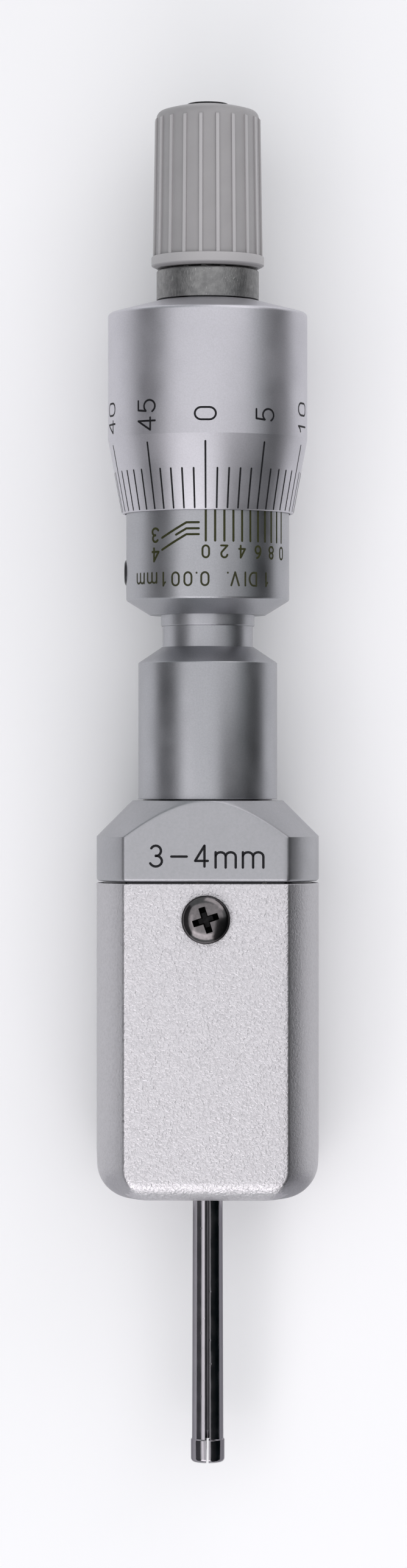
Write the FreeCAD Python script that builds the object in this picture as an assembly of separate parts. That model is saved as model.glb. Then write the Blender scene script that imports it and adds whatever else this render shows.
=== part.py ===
"""Two-arm inside micrometer for small bores, 3 to 4 mm.

The long axis is Y. The ratchet is at +Y, the marked front face looks along +Z, and +X is to the right.
The origin lies on the axis, in the plane where the two arms touch the bore. All sizes are in millimetres.
"""

import FreeCAD, Part
import math
import os

V = FreeCAD.Vector

# Screw and travel
screw_pitch = 0.5
screw_turns = 4.0
opened_diameter = 4.0

# Clearances
running_clearance = 0.03
bearing_clearance = 0.04
loose_clearance = 0.1

# Measuring arms
contact_depth = 0.9
head_diameter = 2.865
head_length = 2.01
head_slit = 0.21
tip_rounding = 0.34
stem_diameter_at_head = 2.68
stem_diameter_at_cover = 2.54
stem_slit = 0.39
measuring_reach = 22.69
wedge_height = 2.75
shank_start = 2.1
shank_half_width = 2.0
shank_thickness = 2.5
pivot_offset = 2.7
pivot_height = 21.11
eye_diameter = 4.0
pivot_pin_diameter = 1.5
notch_height = 7.07
notch_width = 0.8
notch_depth = 0.3
clip_height = 0.6
clip_wall = 0.35
clip_opening = 1.2

# Needle
needle_diameter = 1.15
needle_taper_length = 0.72
guide_diameter = 3.0
guide_below_bush = 0.43
guide_length = 11.7
ball_diameter = 2.4
cup_diameter = 6.2
cup_thickness = 1.0
cup_below_top = 0.7
needle_spring_wire = 0.45
needle_spring_turns = 3

# Cover and body block
body_diameter = 18.96
body_thickness = 13.0
cover_length = 26.77
cover_wall = 1.5
cover_corner = 3.1
cover_edge_rounding = 1.75
cover_base_rounding = 2.7
seam_height = 0.14
seam_depth = 0.3
block_length = 6.86
block_top_diameter = 12.85
edge_break = 0.2
tongue_length = 11.8
tongue_slot_height = 9.6
needle_passage_diameter = 3.2
bush_diameter = 5.0
bush_length = 3.9
bush_flange_diameter = 6.4
bush_flange_thickness = 0.6
opening_play = 0.12

# Cover screw
cover_screw_below_seam = 3.01
cover_screw_head_diameter = 4.1
cover_screw_head_height = 1.3
cover_screw_head_edge = 0.55
cover_screw_thread = 2.0
cover_screw_reach = 4.6
cross_arm = 1.07
cross_width = 0.5
cross_depth = 0.8
cross_turn = 18.0

# Collar
collar_diameter = 11.85
collar_length = 11.72
collar_chamfer_height = 1.4
collar_cavity_diameter = 6.6
spigot_diameter = 8.4
spigot_length = 2.53
nut_tube_seat = 5.28

# Nut tube and scale sleeve
neck_diameter = 7.7
neck_length = 1.72
nut_tube_diameter = 7.97
neck_ring_height = 0.96
nut_tube_top = 21.04
nut_nose_length = 6.5
nose_slit = 0.4
nose_slits = 3
sleeve_diameter = 13.9
sleeve_bottom_diameter = 9.86
sleeve_chamfer_height = 1.25
sleeve_hub_height = 6.04
sleeve_wall = 0.8
sleeve_length = 21.54
set_screw_height = 3.64
set_screw_diameter = 2.2
set_screw_proud = 0.15
set_screw_socket = 0.9
adjusting_nut_play = 0.55
adjusting_nut_length = 3.5
spanner_notch = 1.2

# Spindle and thimble
spindle_diameter = 5.0
spindle_bottom_clearance = 0.02
plain_bore_length = 17.5
thread_diameter = 5.6
thread_start = 2.2
taper_large_diameter = 5.2
taper_small_diameter = 4.6
stud_diameter = 3.0
stud_length = 2.2
thimble_height = 8.63
thimble_edge_diameter = 14.6
thimble_diameter = 17.0
thimble_bevel_length = 6.37
thimble_length = 18.16
thimble_web = 2.75
thimble_shoulder = 0.6
thimble_cone_angle = 14.8
thimble_edge_break = 0.15

# Ratchet
ratchet_diameter = 8.72
ratchet_flange_height = 2.65
ratchet_edge = 0.2
post_diameter = 3.0
tooth_count = 12
tooth_height = 0.35
tooth_width = 0.95
tooth_inner_radius = 1.9
tooth_outer_radius = 3.1
tooth_gap = 0.05
wheel_diameter = 6.7
wheel_bore = 3.2
wheel_thickness = 2.0
wheel_lugs = 4
lug_width = 1.2
lug_reach = 0.45
ratchet_spring_wire = 0.5
ratchet_spring_diameter = 4.6
ratchet_spring_turns = 3
end_screw_diameter = 3.5
end_screw_head = 1.39
end_screw_proud = 0.04
end_screw_thread = 1.6
end_screw_reach = 5.0
end_screw_slot = 0.5

# Grip
grip_gap = 0.155
grip_flange_diameter = 9.61
grip_flange_height = 1.0
grip_flange_chamfer = 0.24
grip_bottom_diameter = 9.1
grip_top_diameter = 8.72
grip_length = 14.05
grip_bore_diameter = 7.0
grip_shoulder_height = 8.7
grip_dome_radius = 13.5
grip_corner = 0.7
rib_count = 20
rib_width = 0.3
rib_height = 0.16
rib_end_below_dome = 0.1
rib_phase = 12.0

# Stations along the axis, from the tip to the ratchet
tip_end = -contact_depth
head_top = tip_end + head_length
cover_bottom = tip_end + measuring_reach
cover_top = cover_bottom + cover_length
block_bottom = cover_top + seam_height
block_top = block_bottom + block_length
collar_top = block_top + collar_length + collar_chamfer_height
nut_tube_bottom = collar_top - nut_tube_seat
neck_top = collar_top + neck_length
sleeve_bottom = neck_top + neck_ring_height
sleeve_top = sleeve_bottom + sleeve_length
nut_tube_end = sleeve_bottom + nut_tube_top
thimble_bottom = sleeve_bottom + thimble_height
thimble_top = thimble_bottom + thimble_length
flange_top = thimble_top + ratchet_flange_height
grip_bottom = flange_top + grip_gap
grip_top = grip_bottom + grip_length
post_top = grip_top + end_screw_proud - end_screw_head

pivot_y = cover_bottom + pivot_height
slot_top = block_bottom - tongue_length + tongue_slot_height
spigot_bottom = block_top - spigot_length
bush_bottom = spigot_bottom - bush_length
guide_bottom = bush_bottom - guide_below_bush
guide_top = guide_bottom + guide_length
ball_centre = guide_top + ball_diameter * 0.29
spindle_bottom = ball_centre + ball_diameter / 2 + spindle_bottom_clearance
web_bottom = thimble_top - thimble_web

# The cone opens the arms evenly over the whole travel
feed_travel = screw_pitch * screw_turns
arm_opening = (opened_diameter - head_diameter) / 2
cone_slope = arm_opening / feed_travel
wedge_top = tip_end + wedge_height
bore_radius = needle_diameter / 2 + bearing_clearance


def polygon_face(points):
    """Face in the XY plane inside a closed outline of (x, y) points."""
    corners = [V(x, y, 0) for x, y in points]
    return Part.Face(Part.makePolygon(corners + corners[:1]))


def turned(*outline):
    """Solid turned about the long axis from a closed outline of (radius, y) points."""
    return polygon_face(outline).revolve(V(0, 0, 0), V(0, 1, 0), 360)


def rod(diameter, bottom, top):
    """Round bar on the long axis."""
    return Part.makeCylinder(diameter / 2, top - bottom, V(0, bottom, 0), V(0, 1, 0))


def tube(outer, inner, bottom, top):
    """Round tube on the long axis."""
    return rod(outer, bottom, top).cut(rod(inner, bottom - 1, top + 1))


def cross_bar(diameter, x, y, low, high):
    """Round bar that runs from front to back, along Z."""
    return Part.makeCylinder(diameter / 2, high - low, V(x, y, low), V(0, 0, 1))


def slab(x, y, z):
    """Box from three (low, high) pairs."""
    return Part.makeBox(x[1] - x[0], y[1] - y[0], z[1] - z[0], V(x[0], y[0], z[0]))


def about_axis(shape, angle):
    """Copy of a shape, turned about the long axis by an angle in degrees."""
    copy = shape.copy()
    copy.rotate(V(0, 0, 0), V(0, 1, 0), angle)
    return copy


def ring_edges(shape, radius, y):
    """The circular edges of a turned shape that have this radius and height."""
    found = []
    for edge in shape.Edges:
        if edge.Degenerated or not isinstance(edge.Curve, Part.Circle):
            continue
        if abs(edge.Curve.Radius - radius) < 1e-4 and abs(edge.Curve.Center.y - y) < 1e-4:
            found.append(edge)
    return found


def coil_spring(mean_diameter, wire, bottom, top, turns):
    """Compression spring of square wire, between two heights on the long axis."""
    rise = top - bottom - wire
    helix = Part.makeHelix(rise / turns, rise, mean_diameter / 2)
    section = [
        V(mean_diameter / 2 + side * wire / 2, 0, lift * wire / 2)
        for side, lift in ((-1, -1), (1, -1), (1, 1), (-1, 1))
    ]
    outline = Part.makePolygon(section + section[:1])
    spring = Part.Wire(helix).makePipeShell([outline], True, True)
    spring.rotate(V(0, 0, 0), V(1, 0, 0), -90)
    spring.translate(V(0, bottom + wire / 2, 0))
    return spring


def measuring_arm():
    """Right arm: half of the split head and stem, and the lever that carries it inside the cover."""
    head_radius = head_diameter / 2
    low_radius = stem_diameter_at_head / 2
    high_radius = stem_diameter_at_cover / 2
    shank_bottom = cover_bottom + shank_start
    step = head_radius - low_radius
    half = turned(
        (0, tip_end),
        (head_radius, tip_end),
        (head_radius, head_top - step),
        (low_radius, head_top),
        (high_radius, cover_bottom),
        (high_radius, shank_bottom),
        (0, shank_bottom),
    )
    half = half.makeFillet(tip_rounding, ring_edges(half, head_radius, tip_end))
    thick = (-shank_thickness / 2, shank_thickness / 2)
    through = (-body_thickness, body_thickness)
    lever = slab((0, shank_half_width), (shank_bottom, pivot_y), thick)
    eye = cross_bar(eye_diameter, pivot_offset, pivot_y, *thick)
    arm = half.multiFuse([lever, eye]).removeSplitter()
    arm = arm.cut(slab((-body_diameter, head_slit / 2), (tip_end - head_length, head_top), through))
    arm = arm.cut(slab((-body_diameter, stem_slit / 2), (head_top, block_bottom), through))
    arm = arm.cut(rod(2 * bore_radius, wedge_top, block_bottom))
    arm = arm.cut(wedge_pocket())
    arm = arm.cut(cross_bar(pivot_pin_diameter + 2 * running_clearance, pivot_offset, pivot_y, *through))
    notch_y = cover_bottom + notch_height
    notch_x = shank_half_width - notch_depth
    notch = (notch_y - notch_width / 2, notch_y + notch_width / 2)
    return arm.cut(slab((notch_x, shank_half_width + notch_depth), notch, through))


def wedge_pocket():
    """Pocket with a sloping outer wall that the needle's cone bears on."""
    depth = bore_radius / cone_slope
    wedge = polygon_face([(0, wedge_top - depth), (bore_radius, wedge_top), (0, wedge_top)])
    wedge.translate(V(0, 0, -bore_radius))
    return wedge.extrude(V(0, 0, 2 * bore_radius))


def cone_needle():
    """Needle with the measuring cone at its end and the guide at its top."""
    radius = needle_diameter / 2
    end_radius = radius - needle_taper_length * cone_slope
    seat_radius = ball_diameter / 2 * math.sqrt(2) - (ball_centre - guide_top)
    return turned(
        (0, wedge_top - needle_taper_length),
        (end_radius, wedge_top - needle_taper_length),
        (radius, wedge_top),
        (radius, guide_bottom),
        (guide_diameter / 2, guide_bottom + guide_diameter / 2 - radius),
        (guide_diameter / 2, guide_top),
        (seat_radius, guide_top),
        (0, guide_top - seat_radius),
    )


def needle_cup():
    """Spring cup fixed on the needle's guide."""
    top = guide_top - cup_below_top
    return tube(cup_diameter, guide_diameter, top - cup_thickness, top)


def needle_spring():
    """Spring that lifts the needle against the spindle."""
    top = guide_top - cup_below_top - cup_thickness
    mean = guide_diameter + 2 * needle_spring_wire + 2 * loose_clearance
    return coil_spring(mean, needle_spring_wire, spigot_bottom, top, needle_spring_turns)


def thrust_ball():
    """Ball between the turning spindle and the needle."""
    return Part.makeSphere(ball_diameter / 2, V(0, ball_centre, 0))


def pivot_pin():
    """Pin that the right arm swings on, held in both cheeks of the tongue."""
    reach = body_thickness / 2 - cover_wall - 3 * loose_clearance
    return cross_bar(pivot_pin_diameter, pivot_offset, pivot_y, -reach, reach)


def arm_spring():
    """Open ring of flat spring strip in the arms' notches, which closes the arms on the needle."""
    corner = math.hypot(shank_half_width - notch_depth, shank_thickness / 2)
    inner = 2 * (corner + bearing_clearance)
    middle = cover_bottom + notch_height
    strip = tube(inner + 2 * clip_wall, inner, middle - clip_height / 2, middle + clip_height / 2)
    gap = slab((-clip_opening / 2, clip_opening / 2), (middle - 1, middle + 1), (-inner, 0))
    return strip.cut(gap)


def front_back_slab(bottom, top, thickness, rounding=0.0):
    """Slab between the two flats, with its lower edges rounded."""
    half = thickness / 2
    plate = slab((-body_diameter, body_diameter), (bottom, top), (-half, half))
    if not rounding:
        return plate
    lower = [e for e in plate.Edges if e.BoundBox.YMax < bottom + 1e-6 and e.BoundBox.XLength > body_diameter]
    return plate.makeFillet(rounding, lower)


def side_slab(bottom, top, rounding):
    """Slab a little wider than the body, with its lower edges rounded at the left and the right."""
    half = body_diameter / 2 + 0.05
    plate = slab((-half, half), (bottom, top), (-body_diameter, body_diameter))
    lower = [e for e in plate.Edges if e.BoundBox.YMax < bottom + 1e-6 and e.BoundBox.ZLength > body_diameter]
    return plate.makeFillet(rounding, lower)


def lower_cover():
    """Cover over the arms' levers: a turned cup with two flats and rounded corners milled on it."""
    cup = rod(body_diameter, cover_bottom, cover_top)
    cup = cup.makeFillet(cover_base_rounding, ring_edges(cup, body_diameter / 2, cover_bottom))
    cup = cup.common(front_back_slab(cover_bottom, cover_top, body_thickness, cover_edge_rounding))
    cup = cup.common(side_slab(cover_bottom, cover_top, cover_corner))
    inside = rod(body_diameter - 2 * cover_wall, cover_bottom + cover_wall, cover_top + 1)
    cup = cup.cut(inside.common(
        front_back_slab(cover_bottom + cover_wall, cover_top + 1, body_thickness - 2 * cover_wall)
    ))
    cup = cup.cut(arm_opening_slot())
    screw_y = cover_top - cover_screw_below_seam
    clear_hole = cover_screw_thread + 2 * loose_clearance
    return cup.cut(cross_bar(clear_hole, 0, screw_y, 0, body_thickness))


def arm_opening_slot():
    """Oblong hole in the cover's bottom that leaves the arms room to open."""
    swing = arm_opening * (pivot_y - cover_bottom) / pivot_y
    radius = stem_diameter_at_cover / 2 + opening_play
    offset = swing
    ends = [
        Part.makeCylinder(radius, cover_wall + 2, V(side * offset, cover_bottom - 1, 0), V(0, 1, 0))
        for side in (-1, 1)
    ]
    middle = slab((-offset, offset), (cover_bottom - 1, cover_bottom + cover_wall + 1), (-radius, radius))
    return middle.multiFuse(ends)


def body_block():
    """Block between cover and collar, with the tongue that carries the arms down inside the cover."""
    radius = body_diameter / 2
    cone = (body_diameter - block_top_diameter) / 2
    outer = turned(
        (0, block_bottom),
        (radius - edge_break, block_bottom),
        (radius, block_bottom + edge_break),
        (radius, block_top - cone),
        (block_top_diameter / 2, block_top),
        (0, block_top),
    )
    outer = outer.common(front_back_slab(block_bottom, block_top, body_thickness))
    seat = rod(body_diameter - 2 * seam_depth, cover_top, block_bottom)
    seat = seat.common(front_back_slab(cover_top, block_bottom, body_thickness - 2 * seam_depth))
    tongue_bottom = block_bottom - tongue_length
    tongue = rod(body_diameter - 2 * cover_wall - 2 * loose_clearance, tongue_bottom, cover_top)
    fit = body_thickness - 2 * cover_wall - loose_clearance
    tongue = tongue.common(front_back_slab(tongue_bottom, cover_top, fit))
    block = outer.multiFuse([seat, tongue]).removeSplitter()
    gap = shank_thickness / 2 + 2 * bearing_clearance
    block = block.cut(slab((-body_diameter, body_diameter), (tongue_bottom - 1, slot_top), (-gap, gap)))
    block = block.cut(rod(needle_passage_diameter, slot_top - 1, bush_bottom))
    block = block.cut(rod(bush_diameter, bush_bottom, spigot_bottom))
    block = block.cut(rod(bush_flange_diameter, spigot_bottom - bush_flange_thickness, spigot_bottom))
    block = block.cut(rod(spigot_diameter, spigot_bottom, block_top + 1))
    for side in (-1, 1):
        block = block.cut(cross_bar(pivot_pin_diameter, side * pivot_offset, pivot_y, -body_thickness, body_thickness))
    screw_y = cover_top - cover_screw_below_seam
    screw_end = body_thickness / 2 - cover_screw_reach - loose_clearance
    return block.cut(cross_bar(cover_screw_thread, 0, screw_y, screw_end, body_thickness))


def cover_screw():
    """Pan head screw with a cross recess, through the cover's front into the tongue."""
    face = body_thickness / 2
    screw_y = cover_top - cover_screw_below_seam
    radius = cover_screw_head_diameter / 2
    bulge = cover_screw_head_height - cover_screw_head_edge
    head = Part.makeCylinder(radius, cover_screw_head_edge)
    crown = Part.makeCone(radius, radius - bulge, bulge, V(0, 0, cover_screw_head_edge))
    shank = Part.makeCylinder(cover_screw_thread / 2, cover_screw_reach, V(0, 0, -cover_screw_reach))
    head = head.fuse(crown)
    screw = head.fuse(shank)
    floor = cover_screw_head_height - cross_depth
    for turn in (0, 90):
        arm = slab((-cross_arm, cross_arm), (-cross_width / 2, cross_width / 2), (floor, cover_screw_head_height + 1))
        arm.rotate(V(0, 0, 0), V(0, 0, 1), cross_turn + turn)
        screw = screw.cut(arm)
    screw.translate(V(0, screw_y, face))
    return screw


def needle_bush():
    """Bush that guides the needle, held under the collar's spigot."""
    bush = rod(bush_diameter, bush_bottom, spigot_bottom)
    flange = rod(bush_flange_diameter, spigot_bottom - bush_flange_thickness, spigot_bottom)
    bore = rod(guide_diameter + 2 * running_clearance, bush_bottom - 1, spigot_bottom + 1)
    return bush.fuse(flange).removeSplitter().cut(bore)


def collar():
    """Collar that joins the block to the micrometer screw, with a spigot down into the block."""
    radius = collar_diameter / 2
    shoulder = block_top + collar_length
    return turned(
        (collar_cavity_diameter / 2, spigot_bottom),
        (spigot_diameter / 2, spigot_bottom),
        (spigot_diameter / 2, block_top),
        (radius - edge_break, block_top),
        (radius, block_top + edge_break),
        (radius, shoulder),
        (neck_diameter / 2, collar_top),
        (neck_diameter / 2, nut_tube_bottom),
        (collar_cavity_diameter / 2, nut_tube_bottom),
    )


def nut_tube():
    """Tube that is neck, spindle bearing and screw nut in one, with a slit nose for adjustment."""
    bearing = spindle_diameter / 2 + running_clearance
    thread = thread_diameter / 2 + running_clearance
    thread_bottom = nut_tube_bottom + plain_bore_length
    tube_shape = turned(
        (bearing, nut_tube_bottom),
        (neck_diameter / 2, nut_tube_bottom),
        (neck_diameter / 2, neck_top),
        (nut_tube_diameter / 2, neck_top),
        (nut_tube_diameter / 2, nut_tube_end),
        (thread, nut_tube_end),
        (thread, thread_bottom),
        (bearing, thread_bottom),
    )
    nose = (nut_tube_end - nut_nose_length, nut_tube_end + 1)
    for k in range(nose_slits):
        slit = slab((0, nut_tube_diameter), nose, (-nose_slit / 2, nose_slit / 2))
        tube_shape = tube_shape.cut(about_axis(slit, k * 360 / nose_slits))
    return tube_shape


def scale_sleeve():
    """Sleeve that carries the main scale: a hub on the nut tube and a thin wall inside the thimble."""
    radius = sleeve_diameter / 2
    hub_top = sleeve_bottom + sleeve_hub_height
    sleeve = turned(
        (nut_tube_diameter / 2, sleeve_bottom),
        (sleeve_bottom_diameter / 2, sleeve_bottom),
        (radius, sleeve_bottom + sleeve_chamfer_height),
        (radius, sleeve_top),
        (radius - sleeve_wall, sleeve_top),
        (radius - sleeve_wall, hub_top),
        (nut_tube_diameter / 2, hub_top),
    )
    return sleeve.cut(set_screw_bar(set_screw_diameter, radius + 1))


def set_screw_bar(diameter, reach):
    """Round bar along -X at the set screw's height, from the nut tube outwards."""
    start = V(-nut_tube_diameter / 2, sleeve_bottom + set_screw_height, 0)
    return Part.makeCylinder(diameter / 2, reach - nut_tube_diameter / 2, start, V(-1, 0, 0))


def sleeve_set_screw():
    """Grub screw with a hexagon socket that locks the scale sleeve on the nut tube."""
    reach = sleeve_diameter / 2 + set_screw_proud
    screw = set_screw_bar(set_screw_diameter, reach)
    y = sleeve_bottom + set_screw_height
    corner = set_screw_socket / math.sqrt(3)
    hexagon = [
        V(-reach, y + corner * math.sin(k * math.pi / 3), corner * math.cos(k * math.pi / 3))
        for k in range(6)
    ]
    socket = Part.Face(Part.makePolygon(hexagon + hexagon[:1])).extrude(V(set_screw_socket, 0, 0))
    return screw.cut(socket)


def adjusting_nut():
    """Ring nut on the nose of the nut tube, with two spanner notches."""
    top = nut_tube_end - running_clearance * 10
    outer = sleeve_diameter - 2 * sleeve_wall - 2 * adjusting_nut_play
    bottom = top - adjusting_nut_length
    nut = tube(outer, nut_tube_diameter, bottom, top)
    depth = (outer - nut_tube_diameter) / 4
    for side in (-1, 1):
        inner = outer / 2 - depth
        reach = sorted((side * inner, side * outer))
        notch = slab(reach, (bottom - 1, top + 1), (-spanner_notch / 2, spanner_notch / 2))
        nut = nut.cut(notch)
    return nut


def spindle():
    """Spindle: plain bearing, screw thread as a plain cylinder, taper for the thimble and a stud."""
    thread_bottom = nut_tube_bottom + plain_bore_length + thread_start
    return turned(
        (0, spindle_bottom),
        (spindle_diameter / 2, spindle_bottom),
        (spindle_diameter / 2, thread_bottom),
        (thread_diameter / 2, thread_bottom),
        (thread_diameter / 2, web_bottom),
        (taper_large_diameter / 2, web_bottom),
        (taper_small_diameter / 2, thimble_top),
        (stud_diameter / 2, thimble_top),
        (stud_diameter / 2, thimble_top + stud_length),
        (0, thimble_top + stud_length),
    )


def thimble():
    """Thimble with a bevelled scale edge, seated on the spindle's taper."""
    bore = sleeve_diameter / 2 + loose_clearance
    radius = thimble_diameter / 2
    edge = thimble_edge_diameter / 2
    rise = (thimble_top - thimble_length) + thimble_bevel_length
    cone_angle = math.radians(thimble_cone_angle)
    cone = (radius - ratchet_diameter / 2) * math.tan(cone_angle)
    shoulder = thimble_top - cone
    return turned(
        (bore, thimble_bottom),
        (edge - thimble_edge_break, thimble_bottom),
        (edge, thimble_bottom + thimble_edge_break),
        (radius, rise),
        (radius, shoulder - thimble_shoulder),
        (radius - thimble_shoulder / 3, shoulder - thimble_shoulder / 6),
        (radius - thimble_shoulder, shoulder + thimble_shoulder * math.tan(cone_angle)),
        (ratchet_diameter / 2, thimble_top),
        (taper_small_diameter / 2, thimble_top),
        (taper_large_diameter / 2, web_bottom),
        (bore, web_bottom),
    )


def saw_teeth(base, direction):
    """Ring of saw teeth that rise from a height on the axis, upwards (1) or downwards (-1)."""
    half = tooth_width / 2
    profile = [
        V(tooth_inner_radius, base, -half),
        V(tooth_inner_radius, base, half),
        V(tooth_inner_radius, base + direction * tooth_height, direction * half),
    ]
    tooth = Part.Face(Part.makePolygon(profile + profile[:1]))
    tooth = tooth.extrude(V(tooth_outer_radius - tooth_inner_radius, 0, 0))
    return [about_axis(tooth, k * 360 / tooth_count) for k in range(tooth_count)]


def ratchet_body():
    """Steel ratchet body on the spindle's stud: a toothed flange and the post that the grip turns on."""
    radius = ratchet_diameter / 2
    post = post_diameter / 2
    body = turned(
        (0, thimble_top),
        (radius, thimble_top),
        (radius, flange_top - ratchet_edge),
        (radius - ratchet_edge, flange_top),
        (post, flange_top),
        (post, post_top),
        (0, post_top),
    )
    body = body.multiFuse(saw_teeth(flange_top, 1))
    body = body.cut(rod(stud_diameter, thimble_top - 1, thimble_top + stud_length + loose_clearance))
    hole_bottom = post_top - end_screw_reach - loose_clearance
    return body.cut(rod(end_screw_thread, hole_bottom, post_top + 1))


def ratchet_wheel():
    """Toothed wheel keyed in the grip, which slips over the body's teeth at the set force."""
    tooth_line = flange_top + 2 * tooth_height + tooth_gap
    wheel = tube(wheel_diameter, wheel_bore, tooth_line, tooth_line + wheel_thickness)
    lugs = []
    for k in range(wheel_lugs):
        lug = slab(
            (wheel_diameter / 2 - 0.3, wheel_diameter / 2 + lug_reach),
            (tooth_line, tooth_line + wheel_thickness),
            (-lug_width / 2, lug_width / 2),
        )
        lugs.append(about_axis(lug, k * 360 / wheel_lugs))
    return wheel.multiFuse(lugs + saw_teeth(tooth_line, -1)).removeSplitter()


def ratchet_spring():
    """Spring that presses the wheel's teeth on the body's teeth."""
    bottom = flange_top + 2 * tooth_height + tooth_gap + wheel_thickness
    top = grip_bottom + grip_shoulder_height
    return coil_spring(ratchet_spring_diameter, ratchet_spring_wire, bottom, top, ratchet_spring_turns)


def end_screw():
    """Flat slotted screw in the post's end, which keeps the grip on."""
    top = grip_top + end_screw_proud
    screw = rod(end_screw_diameter, post_top, top)
    screw = screw.fuse(rod(end_screw_thread, post_top - end_screw_reach, post_top)).removeSplitter()
    slot = slab((-end_screw_diameter, end_screw_diameter), (top - end_screw_slot, top + 1), (-0.25, 0.25))
    return screw.cut(slot)


def grip_sleeve():
    """Ribbed grip of the ratchet, moulded, with a bore for the wheel and its spring."""
    flange = grip_flange_diameter / 2
    bottom_radius = grip_bottom_diameter / 2
    top_radius = grip_top_diameter / 2
    flange_end = grip_bottom + grip_flange_height
    dome_rise = grip_dome_radius - math.sqrt(grip_dome_radius ** 2 - top_radius ** 2)
    side_top = grip_top - dome_rise
    crown = Part.Arc(
        V(top_radius, side_top, 0),
        V(top_radius / 2, grip_top - grip_dome_radius + math.sqrt(grip_dome_radius ** 2 - top_radius ** 2 / 4), 0),
        V(0, grip_top, 0),
    ).toShape()
    outline = [
        V(0, grip_top, 0),
        V(0, grip_bottom, 0),
        V(flange - grip_flange_chamfer * 2, grip_bottom, 0),
        V(flange, grip_bottom + grip_flange_chamfer, 0),
        V(flange, flange_end, 0),
        V(bottom_radius, flange_end, 0),
        V(top_radius, side_top, 0),
    ]
    profile = Part.Wire(Part.makePolygon(outline).Edges + [crown])
    grip = Part.Face(profile).revolve(V(0, 0, 0), V(0, 1, 0), 360)
    grip = grip.makeFillet(grip_corner, ring_edges(grip, top_radius, side_top))
    grip = grip.multiFuse(grip_ribs(flange_end, side_top - rib_end_below_dome))
    grip = grip.cut(rod(grip_bore_diameter, grip_bottom - 1, grip_bottom + grip_shoulder_height))
    keyway_top = grip_bottom + 2 * wheel_thickness
    for k in range(wheel_lugs):
        keyway = slab(
            (0, wheel_diameter / 2 + lug_reach + loose_clearance / 2),
            (grip_bottom - 1, keyway_top),
            (-lug_width / 2 - loose_clearance / 2, lug_width / 2 + loose_clearance / 2),
        )
        grip = grip.cut(about_axis(keyway, k * 360 / wheel_lugs))
    head_seat = post_top - bearing_clearance
    grip = grip.cut(rod(post_diameter + 2 * running_clearance, grip_bottom, grip_top))
    return grip.cut(rod(end_screw_diameter + loose_clearance, head_seat, grip_top + 1))


def grip_ribs(bottom, top):
    """Straight ribs round the grip, tapering with it."""
    low = grip_bottom_diameter / 2
    high = grip_top_diameter / 2
    slope = (low - high) / (top - bottom)
    outline = [
        V(low - 0.5, bottom, 0),
        V(low + rib_height, bottom, 0),
        V(high + rib_height, top - rib_height, 0),
        V(high, top, 0),
        V(high - 0.5, top, 0),
    ]
    rib = Part.Face(Part.makePolygon(outline + outline[:1]))
    rib.translate(V(0, 0, -rib_width / 2))
    rib = rib.extrude(V(0, 0, rib_width))
    return [about_axis(rib, rib_phase + k * 360 / rib_count) for k in range(rib_count)]


def mirrored(shape):
    """Left-hand copy of a right-hand piece."""
    return shape.mirror(V(0, 0, 0), V(1, 0, 0))


pieces = {
    "measuring_arm_right": measuring_arm(),
    "measuring_arm_left": mirrored(measuring_arm()),
    "arm_spring": arm_spring(),
    "pivot_pin_right": pivot_pin(),
    "pivot_pin_left": mirrored(pivot_pin()),
    "cone_needle": cone_needle(),
    "needle_cup": needle_cup(),
    "needle_spring": needle_spring(),
    "needle_bush": needle_bush(),
    "thrust_ball": thrust_ball(),
    "lower_cover": lower_cover(),
    "cover_screw": cover_screw(),
    "body_block": body_block(),
    "collar": collar(),
    "nut_tube": nut_tube(),
    "scale_sleeve": scale_sleeve(),
    "sleeve_set_screw": sleeve_set_screw(),
    "adjusting_nut": adjusting_nut(),
    "spindle": spindle(),
    "thimble": thimble(),
    "ratchet_body": ratchet_body(),
    "ratchet_wheel": ratchet_wheel(),
    "ratchet_spring": ratchet_spring(),
    "end_screw": end_screw(),
    "grip_sleeve": grip_sleeve(),
}

os.makedirs("parts", exist_ok=True)
for name, shape in pieces.items():
    if shape.ShapeType != "Solid" and len(shape.Solids) == 1:
        shape = shape.Solids[0]
    shape.exportStep(f"parts/{name}.step")
    print(f"{name:22s} solids {len(shape.Solids)} valid {shape.isValid()} volume {shape.Volume:9.2f}")
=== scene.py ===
"""Two-arm inside micrometer for bores of 3 to 4 mm, dressed for a studio picture.

The long axis is Y with the ratchet at +Y, the marked front looks along +Z, and +X is to the right.
Sizes are written in millimetres and multiplied by MM, because the scene is in metres.
"""

import math

import bpy
from mathutils import Matrix, Vector


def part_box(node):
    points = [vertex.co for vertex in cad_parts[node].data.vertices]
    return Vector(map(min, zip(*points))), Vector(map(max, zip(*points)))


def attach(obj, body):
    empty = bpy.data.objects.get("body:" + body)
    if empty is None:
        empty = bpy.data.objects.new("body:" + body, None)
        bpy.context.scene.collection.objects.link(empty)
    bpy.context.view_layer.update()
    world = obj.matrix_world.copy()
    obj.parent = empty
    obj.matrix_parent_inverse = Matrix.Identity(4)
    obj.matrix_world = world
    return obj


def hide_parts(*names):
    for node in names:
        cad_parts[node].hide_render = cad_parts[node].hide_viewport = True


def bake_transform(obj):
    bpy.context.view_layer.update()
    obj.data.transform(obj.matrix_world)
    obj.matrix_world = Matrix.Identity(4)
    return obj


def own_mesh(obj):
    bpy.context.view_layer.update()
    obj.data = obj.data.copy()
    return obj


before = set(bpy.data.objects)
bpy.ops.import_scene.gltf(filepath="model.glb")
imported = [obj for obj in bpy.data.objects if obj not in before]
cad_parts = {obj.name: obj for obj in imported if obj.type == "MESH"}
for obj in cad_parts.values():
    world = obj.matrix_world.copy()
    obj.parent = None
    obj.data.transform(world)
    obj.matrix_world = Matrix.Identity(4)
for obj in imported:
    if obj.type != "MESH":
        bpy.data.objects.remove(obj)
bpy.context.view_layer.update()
MM = 0.001


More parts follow.
